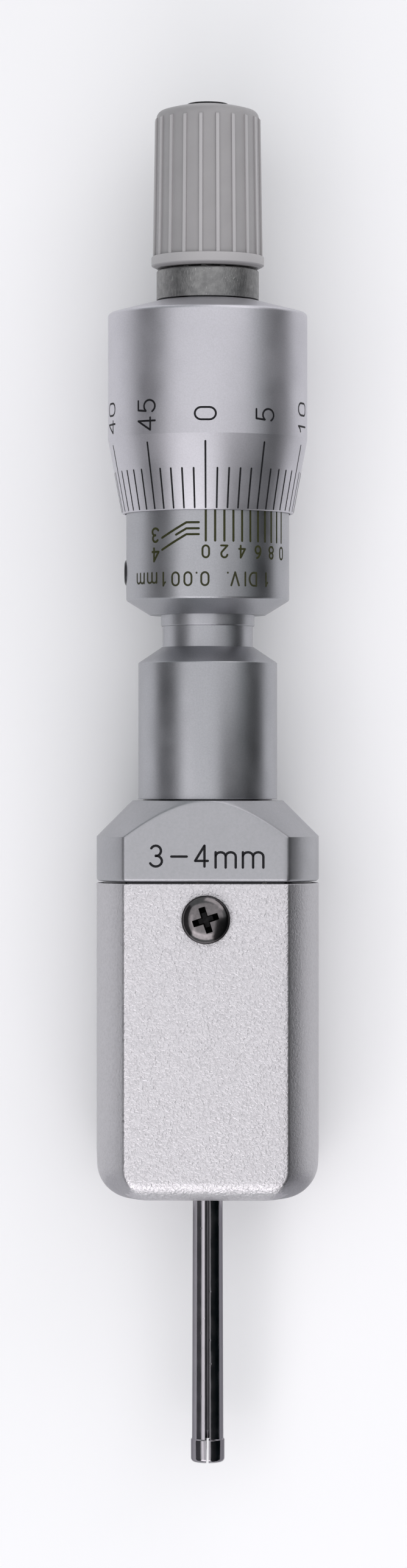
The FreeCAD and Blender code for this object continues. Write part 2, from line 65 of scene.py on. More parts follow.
# Camera. The picture was taken from 400 mm straight in front, level with the neck,
# and the instrument was turned a little to its left about its own long axis.
eye_level = 56.96
eye_distance = 400.0
eye_turn = math.radians(1.4)
eye_left = 0.36
bpy.ops.object.camera_add(
    location=(
        (eye_distance * math.sin(eye_turn) - eye_left * math.cos(eye_turn)) * MM,
        eye_level * MM,
        (eye_distance * math.cos(eye_turn) + eye_left * math.sin(eye_turn)) * MM,
    ),
    rotation=(0, eye_turn, 0),
)
camera = bpy.context.object
camera.data.sensor_fit = "VERTICAL"
camera.data.sensor_height = 36
camera.data.lens = 107.5
camera.data.clip_start = 0.01
bpy.context.scene.camera = camera
bpy.context.scene.view_settings.view_transform = "Standard"


# Table, light tent and lamps. The instrument lies on a pale laminate board that touches the thimble's
# rim and the cover's back edge. One long soft box hangs over it, with dark cards to its left and right.
def colour(code):
    """Linear colour of an sRGB hex value."""
    parts = [int(code[k : k + 2], 16) / 255 for k in (1, 3, 5)]
    return [c / 12.92 if c <= 0.04045 else ((c + 0.055) / 1.055) ** 2.4 for c in parts] + [1.0]


def add_node(tree, kind, inputs=None, **settings):
    """One node with its settings; an input is a value or another node's output."""
    node = tree.nodes.new(kind)
    for name, value in settings.items():
        setattr(node, name, value)
    for socket, value in (inputs or {}).items():
        if isinstance(value, bpy.types.NodeSocket):
            tree.links.new(value, node.inputs[socket])
        else:
            node.inputs[socket].default_value = value
    return node


def new_material(name):
    """An empty material: its node tree and its shader."""
    material = bpy.data.materials.new(name)
    material.use_nodes = True
    return material, material.node_tree, material.node_tree.nodes["Principled BSDF"]


rim_touch = (86.36, -8.5)
edge_touch = (23.49, -6.5)
slope = math.atan2(rim_touch[1] - edge_touch[1], rim_touch[0] - edge_touch[0])
bpy.ops.object.select_all(action="DESELECT")
bpy.ops.mesh.primitive_grid_add(
    x_subdivisions=1,
    y_subdivisions=2,
    size=6,
    location=(0, rim_touch[0] * MM, rim_touch[1] * MM),
    rotation=(slope, 0, 0),
)
board = bpy.context.object
board.name = "pale_board"
# About 40 mm below the head the board falls away, so that the instrument is in sight from that end too.
crest, drop = -126, -250
for vertex in board.data.vertices:
    if abs(vertex.co.y) < 1:
        vertex.co.y = crest * MM
    elif vertex.co.y < 0:
        vertex.co.z = drop * MM
laminate, tree, shader = new_material("pale matt laminate")
shader.inputs["Base Color"].default_value = colour("#fbfbfc")
shader.inputs["Roughness"].default_value = 0.85
shader.inputs["Specular IOR Level"].default_value = 0.2
board.data.materials.append(laminate)

world = bpy.data.worlds.new("light_tent")
bpy.context.scene.world = world
world.use_nodes = True
world.node_tree.nodes["Background"].inputs["Color"].default_value = colour("#e9f2f4")
world.node_tree.nodes["Background"].inputs["Strength"].default_value = 0.4


def soft_box(name, centre, size, aim, brightness):
    """A square-cornered lamp in mm whose face has this brightness and a trace of magenta."""
    bpy.ops.object.light_add(type="AREA", location=[c * MM for c in centre])
    lamp = bpy.context.object
    lamp.name = name
    lamp.data.shape = "RECTANGLE"
    lamp.data.size = size[0] * MM
    lamp.data.size_y = size[1] * MM
    lamp.data.color = (1.0, 0.95, 0.975)
    lamp.data.energy = brightness * math.pi * size[0] * size[1] * MM * MM
    lamp.rotation_euler = (Vector(aim) - Vector(centre)).to_track_quat("-Z", "Y").to_euler()
    lamp.visible_camera = False


soft_box("long_soft_box", (25, 40, 450), (1010, 900), (25, 40, 0), 0.65)
soft_box("low_end_soft_box", (-40, -340, 330), (640, 260), (0, 30, 0), 1.9)
soft_box("high_end_soft_box", (250, 520, 200), (640, 360), (0, 80, 0), 1.2)
soft_box("stem_strip", (-225, -30, 340), (300, 66), (0, 5, 0), 0.75)


def card(name, centre, size, rotation, shade):
    """A matt card that darkens what the metal mirrors, out of the picture."""
    bpy.ops.mesh.primitive_plane_add(size=1, location=[c * MM for c in centre], rotation=rotation)
    sheet = bpy.context.object
    sheet.name = name
    sheet.scale = (size[0] * MM, size[1] * MM, 1)
    paper, _, paper_shader = new_material(name + " paper")
    paper_shader.inputs["Base Color"].default_value = colour(shade)
    paper_shader.inputs["Roughness"].default_value = 1.0
    paper_shader.inputs["Specular IOR Level"].default_value = 0.0
    sheet.data.materials.append(paper)
    sheet.visible_camera = False
    sheet.visible_shadow = False
    sheet.visible_diffuse = False


card("left_card", (-520, 0, 225), (470, 1000), (0, math.radians(90), 0), "#5a5a5c")
card("right_card", (580, 0, 72), (165, 1000), (0, math.radians(90), 0), "#10191b")
card("near_right_card", (105, -100, 142), (265, 320), (0, math.radians(90), 0), "#10191b")
card("low_right_card", (45, 40, 7), (30, 200), (0, math.radians(90), 0), "#0c1517")

# Two grey sheets lie on the board beside the stem, which mirrors them.
card("right_sheet", (29, -5, -5.3), (46, 50), (slope, 0, 0), "#b6b6ba")
card("left_sheet", (-33, -5, -5.3), (56, 50), (slope, 0, 0), "#d0d0d3")


# Measuring arms. Two hardened steel levers whose stems form a split rod that ends in the measuring head.
# They are turned and ground as one rod and then slit; inside the cover each swings on its own pin.
def rounded(outline):
    """The outline's points in mm, with an arc at every corner that states a radius."""
    points = []
    for before, corner, after in zip(outline[-1:] + outline[:-1], outline, outline[1:] + outline[:1]):
        here = Vector(corner[:2])
        if len(corner) < 3:
            points.append(here)
            continue
        back = (Vector(before[:2]) - here).normalized()
        ahead = (Vector(after[:2]) - here).normalized()
        half = back.angle(ahead) / 2
        centre = here + (back + ahead).normalized() * corner[2] / math.sin(half)
        start = here + back * corner[2] / math.tan(half) - centre
        end = here + ahead * corner[2] / math.tan(half) - centre
        sweep = math.atan2(start.x * end.y - start.y * end.x, start.dot(end))
        steps = 4 + int(4 * corner[2])
        for k in range(steps + 1):
            points.append(centre + Matrix.Rotation(sweep * k / steps, 2) @ start)
    return points


def select_only(piece):
    """Makes one piece the selected and active one."""
    bpy.ops.object.select_all(action="DESELECT")
    piece.select_set(True)
    bpy.context.view_layer.objects.active = piece


def clean(piece, angle=30):
    """Closes seams and poles, turns the faces outwards and smooths all but the sharp edges."""
    select_only(piece)
    bpy.ops.object.mode_set(mode="EDIT")
    bpy.ops.mesh.select_all(action="SELECT")
    bpy.ops.mesh.remove_doubles(threshold=1e-7)
    bpy.ops.mesh.dissolve_degenerate(threshold=1e-7)
    bpy.ops.mesh.delete_loose(use_verts=True, use_edges=True, use_faces=False)
    bpy.ops.mesh.select_all(action="SELECT")
    bpy.ops.mesh.normals_make_consistent(inside=False)
    bpy.ops.object.mode_set(mode="OBJECT")
    bpy.ops.object.shade_smooth_by_angle(angle=math.radians(angle))


def turned(name, outline, steps=128):
    """Solid spun about the long axis from a closed outline of (radius, y, corner radius) in mm."""
    points = rounded(outline)
    bpy.ops.object.select_all(action="DESELECT")
    bpy.ops.mesh.primitive_circle_add(vertices=len(points), radius=MM)
    piece = bpy.context.object
    piece.name = name
    for vertex, (radius, y) in zip(piece.data.vertices, points):
        vertex.co = (radius * MM, y * MM, 0)
    bpy.ops.object.mode_set(mode="EDIT")
    bpy.ops.mesh.select_all(action="SELECT")
    bpy.ops.mesh.spin(steps=steps, angle=2 * math.pi, center=(0, 0, 0), axis=(0, 1, 0))
    bpy.ops.object.mode_set(mode="OBJECT")
    clean(piece)
    return piece


def apply_place(piece):
    """Moves the object's place, turn and scale into its mesh."""
    select_only(piece)
    bpy.ops.object.transform_apply(location=True, rotation=True, scale=True)
    return piece


def bar(low, high):
    """Square bar between two corners in mm."""
    bpy.ops.object.select_all(action="DESELECT")
    bpy.ops.mesh.primitive_cube_add(size=1, location=(Vector(low) + Vector(high)) / 2 * MM)
    bpy.context.object.scale = (Vector(high) - Vector(low)) * MM
    return apply_place(bpy.context.object)


def pin(radius, start, end):
    """Round bar between two points in mm."""
    bpy.ops.object.select_all(action="DESELECT")
    start, end = Vector(start) * MM, Vector(end) * MM
    along = (end - start).to_track_quat("Z", "Y").to_euler()
    bpy.ops.mesh.primitive_cylinder_add(
        vertices=64,
        radius=radius * MM,
        depth=(end - start).length,
        location=(start + end) / 2,
        rotation=along,
    )
    return apply_place(bpy.context.object)


def combine(piece, tool, how="DIFFERENCE"):
    """Cuts, adds or intersects a tool, which is used up."""
    change = piece.modifiers.new(how.lower(), "BOOLEAN")
    change.operation = how
    change.solver = "EXACT"
    change.object = tool
    select_only(piece)
    bpy.ops.object.modifier_apply(modifier=change.name)
    bpy.data.objects.remove(tool)


def break_edges(piece, width, angle):
    """Small round on every edge sharper than the angle."""
    clean(piece, angle)
    edges = piece.modifiers.new("edges", "BEVEL")
    edges.width = width * MM
    edges.segments = 2
    edges.limit_method = "ANGLE"
    edges.angle_limit = math.radians(angle)
    edges.harden_normals = True
    bpy.ops.object.modifier_apply(modifier=edges.name)
    bpy.ops.object.shade_smooth_by_angle(angle=math.radians(angle))


def duplicate(piece, name):
    """Copy of a piece with its own mesh."""
    select_only(piece)
    bpy.ops.object.duplicate(linked=False)
    bpy.context.object.name = name
    return bpy.context.object


head_radius, head_low, head_top = 1.4325, -0.90, 1.11
stem_radius, stem_top = 1.27, 23.93
head_slit, stem_slit = 0.21, 0.39
shank_half, eye_radius = 1.25, 2.0
pivot_x, pivot_y = 2.7, 42.9
pin_hole, needle_bore = 0.78, 0.615
notch_low, notch_high = 28.46, 29.26
arm = turned(
    "right_arm",
    [
        (0, head_low),
        (head_radius, head_low, 0.34),
        (head_radius, 1.02, 0.05),
        (1.34, head_top),
        (stem_radius, 21.79),
        (stem_radius, stem_top),
        (0, stem_top),
    ],
    96,
)
combine(arm, bar((0.05, stem_top - 0.04, -shank_half), (2.0, pivot_y, shank_half)), "UNION")
combine(arm, pin(eye_radius, (pivot_x, pivot_y, -shank_half), (pivot_x, pivot_y, shank_half)), "UNION")
combine(arm, bar((-5, -2, -5), (head_slit / 2, head_top + 0.01, 5)))
combine(arm, bar((-5, head_top - 0.01, -5), (stem_slit / 2, 50, 5)))
combine(arm, pin(needle_bore, (0, 1.85, 0), (0, 50, 0)))
# The needle's wedge pushes in a pocket that narrows to nothing in the head.
pocket = bar((-0.3, -0.317, -0.61), (needle_bore, 1.86, 0.61))
for vertex in pocket.data.vertices:
    if vertex.co.y < 0 and vertex.co.x > 0:
        vertex.co.x = 0
combine(arm, pocket)
combine(arm, pin(pin_hole, (pivot_x, pivot_y, -5), (pivot_x, pivot_y, 5)))
combine(arm, bar((1.7, notch_low, -5), (3.0, notch_high, 5)))
break_edges(arm, 0.02, 35)
left_arm = duplicate(arm, "left_arm")
left_arm.scale.x = -1
apply_place(left_arm)
clean(left_arm, 35)

# Hardened tool steel, ground and lapped: a near mirror with faint lengthwise hairlines. They are 0.1 mm
# apart here, coarser than real lapping, so that they show.
lapped_steel, tree, shader = new_material("lapped_tool_steel")
place = add_node(tree, "ShaderNodeTexCoord").outputs["Object"]
along = add_node(tree, "ShaderNodeMapping", {"Vector": place, "Scale": (1, 0.03, 1)}).outputs[0]
hairlines = add_node(
    tree, "ShaderNodeTexNoise", {"Vector": along, "Scale": 1 / (0.1 * MM), "Detail": 3.0}
).outputs["Fac"]
smears = add_node(
    tree, "ShaderNodeTexNoise", {"Vector": place, "Scale": 1 / (1.2 * MM), "Detail": 4.0}
).outputs["Fac"]
gloss = add_node(
    tree,
    "ShaderNodeMapRange",
    {"Value": smears, "From Min": 0.3, "From Max": 0.7, "To Min": 0.1, "To Max": 0.2},
)
tint = add_node(
    tree, "ShaderNodeMix", {0: smears, 6: colour("#9d9a9e"), 7: colour("#b0adb2")}, data_type="RGBA"
)
scratches = add_node(
    tree, "ShaderNodeBump", {"Height": hairlines, "Strength": 0.4, "Distance": 0.002 * MM}
).outputs[0]
specks = add_node(
    tree, "ShaderNodeTexVoronoi", {"Vector": place, "Scale": 1 / (0.45 * MM), "Randomness": 1.0}
).outputs["Distance"]
nicks = add_node(
    tree, "ShaderNodeMapRange", {"Value": specks, "From Min": 0.05, "From Max": 0.16}
).outputs[0]
relief = add_node(
    tree, "ShaderNodeBump", {"Height": nicks, "Normal": scratches, "Strength": 0.5, "Distance": 0.008 * MM}
)
tree.links.new(tint.outputs[2], shader.inputs["Base Color"])
tree.links.new(gloss.outputs[0], shader.inputs["Roughness"])
tree.links.new(relief.outputs[0], shader.inputs["Normal"])
shader.inputs["Metallic"].default_value = 1.0
shader.inputs["Specular Tint"].default_value = colour("#b8b8ba")
for piece, node, body in (
    (arm, "measuring_arm_right", "arm_right"),
    (left_arm, "measuring_arm_left", "arm_left"),
):
    piece.data.materials.append(lapped_steel)
    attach(piece, body)
    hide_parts(node)


# Lower cover. A turned steel cup, milled flat at the front and back and blasted before its matt chrome
# plating. It slips over the block's tongue from below and is held by one screw at the front.
def section(radius, half_thickness, half_width, sharpness=140):
    """One ring of points in mm: a circle cut by flats at front and back and at both sides.

    The higher the sharpness is, the less worn are the corners between the circle and its flats.
    """
    flat = max(math.atan2(half_thickness, half_width), math.asin(min(half_thickness / radius, 1)))
    side = min(flat, max(math.acos(min(half_width / radius, 1)), 0.25 * flat))
    quarter = [side * k / 8 for k in range(8)]
    quarter += [side + (flat - side) * (1 - (1 - k / 24) ** 2) for k in range(24)]
    quarter += [flat + (math.pi / 2 - flat) * (k / 10) ** 2 for k in range(11)]
    half = quarter + [math.pi - turn for turn in quarter[-2::-1]]
    ring = []
    for turn in half[:-1] + [turn + math.pi for turn in half[:-1]]:
        limits = (
            radius,
            half_thickness / max(abs(math.sin(turn)), 1e-6),
            half_width / max(abs(math.cos(turn)), 1e-6),
        )
        nearest = min(limits)
        wear = sum((nearest / limit) ** sharpness for limit in limits)
        reach = nearest * wear ** (-1 / sharpness)
        ring.append((reach * math.cos(turn), reach * math.sin(turn)))
    return ring


def milled(name, stations):
    """Closed solid through rings in mm, bottom to top; each states its y and what section takes."""
    rings = [section(*station[1:]) for station in stations]
    across = len(rings[0])
    bpy.ops.object.select_all(action="DESELECT")
    bpy.ops.mesh.primitive_grid_add(x_subdivisions=across, y_subdivisions=len(stations) - 1, size=MM)
    piece = bpy.context.object
    piece.name = name
    for k, vertex in enumerate(piece.data.vertices):
        level, column = divmod(k, across + 1)
        x, z = rings[level][column % across]
        vertex.co = (x * MM, stations[level][0] * MM, z * MM)
    bpy.ops.object.mode_set(mode="EDIT")
    bpy.ops.mesh.select_all(action="SELECT")
    bpy.ops.mesh.remove_doubles(threshold=1e-7)
    bpy.ops.mesh.select_all(action="SELECT")
    bpy.ops.mesh.fill_holes(sides=0)
    bpy.ops.object.mode_set(mode="OBJECT")
    clean(piece)
    return piece


def curl(size, up):
    """How far a rounded edge of this radius stands back, at a height above its lowest line."""
    return size - math.sqrt(max(size**2 - (size - min(up, size)) ** 2, 0))


body_radius, face = 9.48, 6.5
cover_bottom, cover_top = 21.79, 48.56
floor, cavity_radius, cavity_face = 1.5, 7.98, 5.0
side_round, turned_round, face_round, top_round = 3.1, 2.7, 1.75, 0.1
no_side = 20
turns = [math.radians(a) for a in range(0, 91, 6)]
ups = {side_round * (1 - math.cos(a)) for a in turns} | {0.03, 0.08, 0.2, 0.35, 1.3, 1.6}
shell = []
for up in sorted(ups):
    radius = body_radius - curl(turned_round, up)
    half_thickness = face - curl(face_round, up)
    half_width = body_radius - curl(side_round, up)
    shell.append((cover_bottom + up, radius, half_thickness, half_width, 60 + 26 * up))
shell += [(cover_bottom + side_round + k, body_radius, face, no_side) for k in range(1, 24, 2)]
for down in (0.1, 0.06, 0.03, 0.01, 0):
    back = curl(top_round, down)
    shell.append((cover_top - down, body_radius - back, face - back, no_side))
cover = milled("cover", shell)
cavity = [(y, cavity_radius, cavity_face, no_side) for y in (cover_bottom + floor, cover_top + 1)]
combine(cover, milled("cavity", cavity))

# The arms come out through an oblong hole in the floor.
hole_radius, hole_shift = 1.39, 0.279
slot = pin(hole_radius, (hole_shift, 20, 0), (hole_shift, 24, 0))
combine(slot, pin(hole_radius, (-hole_shift, 20, 0), (-hole_shift, 24, 0)), "UNION")
combine(slot, bar((-hole_shift, 20, -hole_radius), (hole_shift, 24, hole_radius)), "UNION")
combine(cover, slot)
screw_low, screw_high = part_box("cover_screw")
screw_y = (screw_low.y + screw_high.y) / 2 / MM
screw_way = 1.1
combine(cover, pin(screw_way, (0, screw_y, 0), (0, screw_y, 8)))
clean(cover, 30)


def satin_metal(name, dark, light, rough, grain, relief, stretch=(1, 1, 1)):
    """Plated or ground metal; grain is the size of its pits in mm, relief their depth in mm."""
    material, tree, shader = new_material(name)
    place = add_node(tree, "ShaderNodeTexCoord").outputs["Object"]
    drawn = add_node(tree, "ShaderNodeMapping", {"Vector": place, "Scale": stretch}).outputs[0]
    pits = add_node(
        tree,
        "ShaderNodeTexNoise",
        {"Vector": drawn, "Scale": 1 / (grain * MM), "Detail": 4.0, "Roughness": 0.6},
    ).outputs["Fac"]
    handled = add_node(
        tree, "ShaderNodeTexNoise", {"Vector": place, "Scale": 1 / (3.5 * MM), "Detail": 5.0}
    ).outputs["Fac"]
    fleck = add_node(tree, "ShaderNodeMapRange", {"Value": pits, "From Min": 0.3, "From Max": 0.7})
    tint = add_node(
        tree, "ShaderNodeMix", {0: fleck.outputs[0], 6: colour(dark), 7: colour(light)}, data_type="RGBA"
    )
    worn = add_node(
        tree,
        "ShaderNodeMapRange",
        {
            "Value": handled,
            "From Min": 0.3,
            "From Max": 0.7,
            "To Min": rough - 0.05,
            "To Max": rough + 0.04,
        },
    )
    bump = add_node(tree, "ShaderNodeBump", {"Height": pits, "Strength": 0.6, "Distance": relief * MM})
    tree.links.new(tint.outputs[2], shader.inputs["Base Color"])
    tree.links.new(worn.outputs[0], shader.inputs["Roughness"])
    tree.links.new(bump.outputs[0], shader.inputs["Normal"])
    shader.inputs["Metallic"].default_value = 1.0
    return material


# Pearl chrome on blasted steel: pale and almost white, crinkled by 0.2 mm grit so that it sparkles. The
# turned sides had lighter blasting, the same grain but shallower, and take a greyer copy of the plate as
# painted shade.
def blasted_chrome(name, dark, light, rough, depth):
    """Matt chrome plate over a blasted surface whose pits are this deep in mm."""
    material, tree, shader = new_material(name)
    place = add_node(tree, "ShaderNodeTexCoord").outputs["Object"]
    crinkles = add_node(
        tree,
        "ShaderNodeTexNoise",
        {"Vector": place, "Scale": 1 / (0.22 * MM), "Detail": 2.0, "Roughness": 0.5, "Distortion": 0.8},
    ).outputs["Fac"]
    pits = add_node(tree, "ShaderNodeMapRange", {"Value": crinkles, "From Min": 0.3, "From Max": 0.6})
    # The colour follows the crinkles and darkens in their pits: painted shade in the grit's hollows.
    tint = add_node(
        tree, "ShaderNodeMix", {0: pits.outputs[0], 6: colour(dark), 7: colour(light)}, data_type="RGBA"
    )
    bump = add_node(tree, "ShaderNodeBump", {"Height": crinkles, "Strength": 1.0, "Distance": depth * MM})
    tree.links.new(tint.outputs[2], shader.inputs["Base Color"])
    tree.links.new(bump.outputs[0], shader.inputs["Normal"])
    shader.inputs["Roughness"].default_value = rough
    shader.inputs["Metallic"].default_value = 1.0
    return material


pearl_chrome = blasted_chrome("pearl_chrome_on_blasted_steel", "#cdcbce", "#dddbde", 0.42, 0.062)
pearl_sides_painted_shade = blasted_chrome("pearl_chrome_painted_shade_sides", "#b9b8bb", "#c3c2c5", 0.42, 0.03)
cover.data.materials.append(pearl_chrome)
cover.data.materials.append(pearl_sides_painted_shade)
# Faces on the front and back flats take the pale plate; all others take the greyer copy, whose colour is
# painted shade.
flat_start = 4.76
for side in cover.data.polygons:
    on_flat = abs(side.center.z) > flat_start * MM and abs(side.normal.z) > 0.2
    side.material_index = 0 if on_flat and abs(side.normal.x) < 0.5 else 1
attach(cover, "housing")
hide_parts("lower_cover")


# Cover screw. A small pan head screw of blackened steel with a cross recess, which clamps the cover.
# Its polished dome mirrors the tent; the recess was left a little turned when it was tightened.
screw_radius, rim_height, dome_height = 2.05, 0.42, 0.88
shank_radius, shank_low = 1.0, -4.6
dome = [(0, shank_low), (shank_radius, shank_low), (shank_radius, 0), (screw_radius, 0, 0.05)]
for turn in [math.radians(a) for a in range(0, 90, 9)]:
    dome.append((screw_radius * math.cos(turn), rim_height + dome_height * math.sin(turn)))
dome.append((0, rim_height + dome_height))
cover_screw = turned("cover_screw_head", dome, 96)
cover_screw.rotation_euler = (math.radians(90), 0, 0)
cover_screw.location = (0, screw_y * MM, face * MM)
apply_place(cover_screw)
for turn in (18, 108):
    blade = bar((-1.25, -0.3, 0.4), (1.25, 0.3, 1.35))
    for vertex in blade.data.vertices:
        if vertex.co.z < 1 * MM:
            vertex.co.x *= 0.5
            vertex.co.y *= 0.65
    blade.rotation_euler = (0, 0, math.radians(turn))
    blade.location = (0, screw_y * MM, face * MM)
    combine(cover_screw, apply_place(blade))
break_edges(cover_screw, 0.04, 40)

# Blackened steel, oiled: nearly black, with sharp bright reflections and a few worn specks.
black_steel, tree, shader = new_material("blackened_steel")
place = add_node(tree, "ShaderNodeTexCoord").outputs["Object"]
specks = add_node(
    tree, "ShaderNodeTexNoise", {"Vector": place, "Scale": 1 / (0.4 * MM), "Detail": 6.0}
).outputs["Fac"]
worn = add_node(tree, "ShaderNodeMapRange", {"Value": specks, "From Min": 0.6, "From Max": 0.72}).outputs[0]
tint = add_node(
    tree, "ShaderNodeMix", {0: worn, 6: colour("#2a2a2c"), 7: colour("#5c5a58")}, data_type="RGBA"
)
gloss = add_node(
    tree,
    "ShaderNodeMapRange",
    {"Value": specks, "From Min": 0.3, "From Max": 0.7, "To Min": 0.14, "To Max": 0.28},
)
bump = add_node(tree, "ShaderNodeBump", {"Height": specks, "Strength": 0.3, "Distance": 0.004 * MM})
tree.links.new(tint.outputs[2], shader.inputs["Base Color"])
tree.links.new(gloss.outputs[0], shader.inputs["Roughness"])
tree.links.new(bump.outputs[0], shader.inputs["Normal"])
shader.inputs["Metallic"].default_value = 0.75

# The head was turned and buffed before it was blackened, so its dome still mirrors; its outer rim and its
# recess are painted near black as painted shade.
buffed_steel = satin_metal("buffed_black_steel", "#6b6869", "#7d797a", 0.17, 0.3, 0.002)
rim_and_recess_shade_steel = satin_metal("black_steel_painted_shade", "#19191a", "#2b2a2b", 0.4, 0.3, 0.006)
cover_screw.data.materials.append(buffed_steel)
cover_screw.data.materials.append(rim_and_recess_shade_steel)
# The outer rim and the recess take the near-black copy: painted shade.
for side in cover_screw.data.polygons:
    spot = side.center / MM - Vector((0, screw_y, face))
    out = math.hypot(spot.x, spot.y)
    crown = rim_height + dome_height * math.sqrt(max(1 - (out / screw_radius) ** 2, 0))
    in_recess = out < 1.5 and spot.z < crown - 0.06
    side.material_index = 1 if out > 1.96 or in_recess else 0
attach(cover_screw, "housing")
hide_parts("cover_screw")


# Body block. Turned steel with the cover's two flats and a cone at the top, so that the flats end in an
# arch. A tongue goes down inside the cover and carries the arms' pins; a groove makes the seam, and all
# below the block's bottom is blackened steel as painted shade for the dark seam.
block_bottom, block_top = 48.70, 55.56
tongue_radius, tongue_face, tongue_slot = 7.88, 4.95, 2.66
groove_low, groove_radius, groove_face = 48.50, 8.9, 5.9
edge_round, cone_start, worn_edge = 0.3, 52.505, 100
spigot_radius, spigot_low = 4.2, 53.03
block_rings = [(y, tongue_radius, tongue_face, no_side) for y in (36.9, groove_low)]
block_rings += [(y, groove_radius, groove_face, no_side) for y in (groove_low, block_bottom)]
for up in [edge_round * (1 - math.cos(math.radians(a))) for a in range(0, 91, 15)]:
    back = curl(edge_round, up)
    block_rings.append((block_bottom + up, body_radius - back, face - back, no_side, worn_edge))
block_rings += [(49.0 + 0.48 * k, body_radius, face, no_side, worn_edge) for k in range(8)]
cone_levels = [52.49, 52.57, 52.73] + [52.93 + 0.2 * k for k in range(11)]
cone_levels += [55.03, 55.13, 55.23, 55.31, 55.37, 55.43, 55.48, 55.53]
block_rings += [(y, body_radius - max(y - cone_start, 0), face, no_side, worn_edge) for y in cone_levels]
block_rings.append((block_top, 6.38, face, no_side))
block = milled("block", block_rings)
combine(block, bar((-12, 35, -tongue_slot / 2), (12, 46.5, tongue_slot / 2)))
bore = turned(
    "bore",
    [
        (0, 46),
        (1.6, 46),
        (1.6, 49.13),
        (2.5, 49.13),
        (2.5, 52.43),
        (3.2, 52.43),
        (3.2, spigot_low),
        (spigot_radius, spigot_low),
        (spigot_radius, 57),
        (0, 57),
    ],
    64,
)
combine(block, bore)
for side in (-pivot_x, pivot_x):
    combine(block, pin(0.75, (side, pivot_y, -8), (side, pivot_y, 8)))
combine(block, pin(shank_radius, (0, screw_y, 1.8), (0, screw_y, 8)))
clean(block, 26)

# Satin steel: ground flat and lightly blasted, so the flats are an even grey and the edges catch light.
satin_steel = satin_metal("satin_ground_steel", "#abacaf", "#b2b2b6", 0.42, 0.22, 0.003)
block.data.materials.append(satin_steel)
block.data.materials.append(black_steel)
# Everything below the block's bottom, the groove and the tongue, takes the blackened steel: painted shade
# in the seam.
for side in block.data.polygons:
    side.material_index = 1 if side.center.y < (block_bottom - 0.01) * MM else 0
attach(block, "housing")
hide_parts("body_block")


# Block marks. The range is engraved in the block's front with a hand-guided cutter and filled with black
# paint: a three, a dash, a four and the unit, which is the size of bore in millimetres.
def arc(x, y, wide, high, start, end, steps=12):
    """Points of an oval arc between two angles in degrees."""
    turns = [math.radians(start + (end - start) * k / steps) for k in range(steps + 1)]
    return [(x + wide * math.cos(a), y + high * math.sin(a)) for a in turns]


signs = {
    "0": [arc(0.5, 0.69, 0.5, 0.31, 0, 180) + arc(0.5, 0.31, 0.5, 0.31, 180, 360) + [(1, 0.69)]],
    "1": [[(0.12, 0.74), (0.35, 0.83), (0.55, 1)], [(0.55, 1), (0.55, 0)]],
    "2": [arc(0.5, 0.7, 0.48, 0.3, 165, -30) + [(0.02, 0)], [(0.02, 0), (1, 0)]],
    "3": [arc(0.46, 0.75, 0.44, 0.25, 150, -90), arc(0.46, 0.26, 0.52, 0.26, 90, -155)],
    "4": [[(0.74, 1), (0, 0.27)], [(0, 0.27), (1, 0.27)], [(0.74, 1), (0.74, 0)]],
    "5": [[(0.92, 1), (0.16, 1)], [(0.16, 1), (0.08, 0.54)], arc(0.47, 0.32, 0.5, 0.32, 140, -150, 16)],
    "6": [arc(0.5, 0.31, 0.5, 0.31, 0, 360, 20), arc(0.95, 0.33, 0.95, 0.69, 180, 105)],
    "8": [arc(0.5, 0.76, 0.42, 0.24, 0, 360, 18), arc(0.5, 0.27, 0.5, 0.27, 0, 360, 20)],
    "m": [
        [(0, 1), (0, 0)],
        arc(0.25, 0.72, 0.25, 0.28, 180, 0, 8) + [(0.5, 0)],
        arc(0.75, 0.72, 0.25, 0.28, 180, 0, 8) + [(1, 0)],
    ],
    "D": [[(0, 0), (0, 1)], [(0, 1)] + arc(0.4, 0.5, 0.6, 0.5, 90, -90, 14) + [(0, 0)]],
    "I": [[(0.5, 0), (0.5, 1)]],
    "V": [[(0, 1), (0.5, 0)], [(0.5, 0), (1, 1)]],
    ".": [[(0.5, 0.45), (0.5, 0.55)]],
    "-": [[(0, 0.5), (1, 0.5)]],
}


def engraved(sign, middle, wide, high, stroke, turn=0):
    """Flat lines in mm of one sign of this outer size, turned about its middle by degrees."""
    spin = Matrix.Rotation(math.radians(turn), 2)
    lines = []
    for line in signs[sign]:
        spots = [Vector(((x - 0.5) * (wide - stroke), (y - 0.5) * (high - stroke))) for x, y in line]
        lines.append([Vector(middle) + spin @ spot for spot in spots])
    return lines


def paint(name, lines, stroke, surface, ink, body):
    """Thin raised paint along flat lines in mm, laid on a surface that maps (u, v, height) to a place."""
    curve = bpy.data.curves.new(name, "CURVE")
    curve.dimensions = "3D"
    curve.bevel_depth = stroke / 2
    curve.bevel_resolution = 1
    curve.use_fill_caps = True
    for line in lines:
        first, last = Vector(line[0]), Vector(line[-1])
        cap_a = (first - Vector(line[1])).normalized() * stroke / 2
        cap_b = (last - Vector(line[-2])).normalized() * stroke / 2
        spots = [(first + cap_a * k, math.sqrt(1 - k * k)) for k in (0.98, 0.8, 0.45)]
        for a, b in zip(line, line[1:]):
            a, b = Vector(a), Vector(b)
            pieces = max(1, math.ceil((b - a).length / 0.25))
            spots += [(a.lerp(b, k / pieces), 1) for k in range(pieces)]
        spots += [(last, 1)] + [(last + cap_b * k, math.sqrt(1 - k * k)) for k in (0.45, 0.8, 0.98)]
        spline = curve.splines.new("POLY")
        spline.points.add(len(spots) - 1)
        for point, (spot, wide) in zip(spline.points, spots):
            point.co = (spot.x, spot.y, 0, 1)
            point.radius = wide
    marks = bpy.data.objects.new(name, curve)
    bpy.context.collection.objects.link(marks)
    select_only(marks)
    bpy.ops.object.convert(target="MESH")
    marks = bpy.context.object
    lift, swell = 0.006, 0.02
    for vertex in marks.data.vertices:
        u, v, w = vertex.co
        vertex.co = Vector(surface(u, v, lift + w / stroke * swell)) * MM
    clean(marks, 60)
    marks.data.materials.append(ink)
    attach(marks, body)


